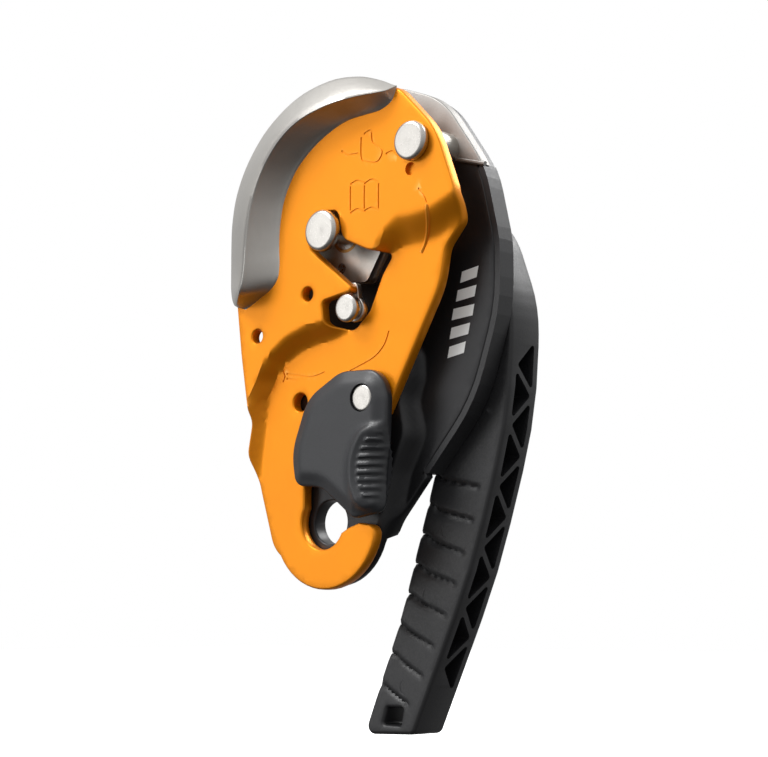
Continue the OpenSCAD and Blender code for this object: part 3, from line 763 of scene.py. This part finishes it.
# ---- Gate -------------------------------------------------------------------------------------
gate_outline = rounded([(12, 52.5, 14), (31, 52, 9), (34, 42, 8), (33.2, 25, 30), (31, 2.5, 4), (18, 0.5, 4),
                        (13, 4.5, 8), (3, 12, 12), (-9.5, 13, 4.5), (-11.5, 25, 20), (-4, 44, 16)])
crescent = curve_points([(33.5, 33.0), (26.0, 30.0), (21.0, 22.0), (20.6, 13.0), (24.0, 5.5), (28.0, 1.5)])
RIB_PITCH = 2.75


def gate_level(points):
    """The domed front of the gate, with a thumb ridge and a ribbed slope to its right."""
    edge = depth_in(points, gate_outline)
    dome = GATE_FRONT + 1.8 * (1 - smooth(edge / 6))
    gap, side = to_line(points, crescent)
    right = np.where((side > 0) & (points[:, 1] < 33), gap, -gap)
    ridge = 2.1 * np.exp(-(np.minimum(right, 0) / 2.8) ** 2) * smooth((points[:, 1] + 1) / 6)
    ridge *= smooth((34.5 - points[:, 1]) / 5) * smooth(edge / 2.5)
    fall = np.clip(right, 0, 12)
    ribs = 0.75 * smooth(np.cos(2 * math.pi * (points[:, 1] - 8) / RIB_PITCH) * 1.3 + 0.4)
    ribs *= smooth((fall - 2) / 1.2) * smooth((33 - points[:, 1]) / 3) * smooth((points[:, 1] - 5) / 2)
    return dome - ridge + 0.34 * fall * smooth((34 - points[:, 1]) / 4) - ribs


def near_grip(points):
    return (points[:, 0] > 15) & (points[:, 1] < 35)


piece("gate_moulded",
      *plate_mesh(gate_outline, front=gate_level, back=GATE_BACK, bevel=0.9, grid=1.3,
                  near=near_grip, gap=1.2),
      "gate", GATE_NYLON, ["gate"], slot="black_nylon", sharp=45,
      carve=[prism(circle(GATE, 4.95, 48), -30, -11.0)])

# ---- Handle -----------------------------------------------------------------------------------
arm_outline = rounded([
    (-2, 124, 0), (30, 123, 30), (60, 103, 30), (70.5, 74, 50), (69.5, 38, 160), (52, -18, 260),
    (25.5, -74.5, 3), (2.5, -75, 3), (20, -33, 200), (34, 12, 120), (41, 40, 40), (33, 68, 24), (3, 82, 0)])
cord_hole = rounded([(13.5, -65.3, 0.8), (20.8, -65.3, 0.8), (19.6, -71.6, 0.8), (11.5, -71.3, 0.8)])
groove_starts = [(34.1, 16.8), (32.7, 5.9), (29.9, -4.9), (26.7, -15.3), (23.4, -25.8), (18.8, -36.4),
                 (15.0, -46.6), (9.8, -57.2)]
groove_ends = [(54.7, 11.0), (52.0, -0.3), (47.9, -11.6), (44.3, -22.2), (39.8, -33.2), (34.3, -43.9),
               (29.3, -54.4), (22.9, -64.2)]
grip_lines = []
for (ax, az), (bx, bz) in zip(groove_starts, groove_ends):
    bend = [(ax - 3, az + 1.0), (ax + 2, az - 0.2), (ax + 5.5, az - 2.6), (bx, bz)]
    grip_lines.append(curve_points(bend, 6))
EJECTORS = [(57.5, 34.7), (41.3, -3.4), (33.1, -26.3), (22.4, -58.0)]
GROOVE_HALF = 0.8
HUB_RECESS = 4.5


def arm_level(points):
    """The front of the arm: a sharp-lipped groove under each finger, and a slight scallop between."""
    y = np.full(len(points), HANDLE_FRONT)
    for line in grip_lines:
        gap, side = to_line(points, line)
        y += 0.9 * np.exp(-(gap / GROOVE_HALF) ** 2)
        y += np.where(side < 0, 0.55 * np.exp(-gap / 3.0), 0) * smooth((line[-1][0] + 1 - points[:, 0]) / 8)
    return y


def near_groove(points):
    close = np.zeros(len(points), bool)
    for line in grip_lines:
        close |= to_line(points, line)[0] < 2.6
    return close


outer_x = at_x([p for p in arm_outline if p[0] > 22 and p[1] < 100 and
                (p[0] > 0.34 * p[1] + 43 or p[1] > 60)])
WINDOW_TOP, WINDOW_PITCH, WINDOW_COUNT, WINDOW_DEPTH = 84.0, 10.4, 13, 8.5
ARM_WALL = 2.6
windows = []
for i in range(WINDOW_COUNT):
    z = WINDOW_TOP - WINDOW_PITCH * i
    near_y, far_y = HANDLE_FRONT + ARM_WALL, HANDLE_BACK - ARM_WALL
    wide, narrow = (near_y, far_y) if i % 2 else (far_y, near_y)
    tri = [(wide, z), (narrow, z - WINDOW_PITCH), (wide, z - 2 * WINDOW_PITCH)]
    if area(tri) < 0:
        tri.reverse()
    tri = inset(tri, 1.0)
    x = float(outer_x(z - WINDOW_PITCH))
    windows.append(side_prism(rounded([(a, b, 1.0) for a, b in tri], 20), x - WINDOW_DEPTH, x + 8))

notches = [prism([(ax - 8, az + 2.4), (ax + 0.8, az + 0.4), (ax - 8, az - 1.2)],
                 HANDLE_FRONT - 5, HANDLE_BACK + 5)
           for ax, az in groove_starts]
hub = lathe_mesh(CAM, [(0, HANDLE_FRONT), (21, HANDLE_FRONT), (HUB_R, HANDLE_FRONT + 1),
                       (HUB_R, HANDLE_BACK - 1.2), (20.8, HANDLE_BACK), (0, HANDLE_BACK)], 96)
piece("handle_moulded",
      *plate_mesh(arm_outline, [cord_hole], arm_level, HANDLE_BACK, bevel=1.3, grid=2.2,
                  near=near_groove, gap=1.6),
      "handle", NYLON, ["handle"], slot="black_nylon", sharp=40, join=[hub],
      carve=[merged(windows[0::2]),
             merged(windows[1::2]), merged(notches),
             prism(circle(CAM, 18, 72), 0, HANDLE_FRONT + HUB_RECESS),
             prism(circle(CAM, 14, 72), HANDLE_BACK - HUB_RECESS, 60),
             prism(circle(CAM, 6, 40), 0, 60),
             merged([prism(circle(p, 2.9, 28), 0, HANDLE_FRONT + 0.14) for p in EJECTORS])])

# ---- Everything else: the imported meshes, with materials and some rounded edges ----------------
looks = {
    "edge_guard": GUARD_NYLON, "rear_cover": NYLON, "cover_screws": WIRE, "hinge_spacer": CAST,
    "friction_block": CAST, "block_screws": WIRE, "catch_pin": WIRE, "catch_spring": WIRE,
    "cam_spring": WIRE, "cam": CAST, "cam_bush": BRONZE, "cam_drive_pin": WIRE, "anti_error_catch": CAST,
    "friction_rivets": WIRE, "gate_spring": WIRE, "hub_bush": BRONZE, "release_eccentric": CAST,
    "return_spring": WIRE, "hub_cap": NYLON, "hub_screw": turned_steel("hub_screw_steel", CAM), "button": RED,
    "button_spring": WIRE}
EDGE = {"edge_guard": 0.5, "rear_cover": 0.6, "cam": 0.5, "hub_cap": 0.4, "hub_screw": 0.3, "button": 0.5,
        "anti_error_catch": 0.4, "friction_block": 0.5, "cover_screws": 0.2, "release_eccentric": 0.4}
for node, look in looks.items():
    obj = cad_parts[node]
    obj.data.materials.clear()
    obj.data.materials.append(look)
    if node in EDGE:
        bevel = obj.modifiers.new("edges", "BEVEL")
        bevel.width, bevel.segments, bevel.limit_method = EDGE[node] * MM, 3, "ANGLE"
        bevel.angle_limit = math.radians(40)
        bevel.harden_normals = True

# ---- Stage ------------------------------------------------------------------------------------
def look_at(obj, target):
    obj.rotation_euler = (Vector(target) - obj.location).to_track_quat("-Z", "Y").to_euler()


AZIMUTH, ELEVATION, DISTANCE = math.radians(41), math.radians(-7), 0.698
TARGET = Vector((0.0170, 0.00645, 0.0512))
camera_data = bpy.data.cameras.new("camera")
camera_data.lens = 91.4
camera_data.sensor_width = 36
camera_data.clip_start = 0.01
camera = bpy.data.objects.new("camera", camera_data)
bpy.context.scene.collection.objects.link(camera)
camera.location = TARGET + DISTANCE * Vector((
    math.sin(AZIMUTH) * math.cos(ELEVATION), -math.cos(AZIMUTH) * math.cos(ELEVATION), math.sin(ELEVATION)))
look_at(camera, TARGET)
bpy.context.scene.camera = camera


def area_light(name, place, size, power):
    data = bpy.data.lights.new(name, "AREA")
    data.shape = "RECTANGLE"
    data.size, data.size_y = size
    data.energy = power
    light = bpy.data.objects.new(name, data)
    light.location = place
    bpy.context.scene.collection.objects.link(light)
    look_at(light, TARGET)


area_light("key", (-0.45, -0.75, 1.1), (0.6, 0.6), 17)
area_light("fill", (-0.8, -1.0, 0.1), (0.5, 1.0), 2.5)
area_light("rim", (0.3, 0.9, 0.9), (0.6, 0.6), 10)

# The room: white to the camera, and to other rays a gradient from dark below to white above
ROOM_STOPS = [(0.1, 0.08), (0.95, 1.0)]
world = bpy.data.worlds.new("studio")
bpy.context.scene.world = world
world.use_nodes = True
sky, sky_links = world.node_tree.nodes, world.node_tree.links
backdrop = sky["Background"]
backdrop.inputs["Color"].default_value = (1, 1, 1, 1)
room = sky.new("ShaderNodeBackground")
direction = sky.new("ShaderNodeTexCoord")
split = sky.new("ShaderNodeSeparateXYZ")
ramp = sky.new("ShaderNodeValToRGB")
for stop, (position, level) in zip(ramp.color_ramp.elements, ROOM_STOPS):
    stop.position, stop.color = position, (level, level, level, 1)
lift = sky.new("ShaderNodeMapRange")
lift.inputs["From Min"].default_value = -1
seen = sky.new("ShaderNodeLightPath")
choose = sky.new("ShaderNodeMixShader")
sky_links.new(direction.outputs["Generated"], split.inputs["Vector"])
sky_links.new(split.outputs["Z"], lift.inputs["Value"])
sky_links.new(lift.outputs["Result"], ramp.inputs["Fac"])
sky_links.new(ramp.outputs["Color"], room.inputs["Color"])
sky_links.new(seen.outputs["Is Camera Ray"], choose.inputs["Fac"])
sky_links.new(room.outputs["Background"], choose.inputs[1])
sky_links.new(backdrop.outputs["Background"], choose.inputs[2])
sky_links.new(choose.outputs["Shader"], sky["World Output"].inputs["Surface"])

FLOOR_GAP, FLOOR_GLOW = 0.03, 0.45
half, floor_z = 3.0, cad_box[0][2] - FLOOR_GAP
floor_mesh = bpy.data.meshes.new("floor")
floor_mesh.from_pydata([(x * half, y * half, floor_z) for x, y in ((-1, -1), (1, -1), (1, 1), (-1, 1))],
                       [], [(0, 1, 2, 3)])
floor = bpy.data.objects.new("floor", floor_mesh)
bpy.context.scene.collection.objects.link(floor)
floor_look = material("floor_paint", (0.92, 0.92, 0.92, 1), 0, 0.8, (60, 0.05), 0.02, 0.01)
floor_bsdf = floor_look.node_tree.nodes["Principled BSDF"]
floor_bsdf.inputs["Emission Color"].default_value = (1, 1, 1, 1)
floor_bsdf.inputs["Emission Strength"].default_value = FLOOR_GLOW
floor.data.materials.append(floor_look)
# The floor is seen, but sends no light back up onto the object
floor.visible_diffuse = floor.visible_glossy = False
bpy.context.scene.view_settings.view_transform = "Standard"
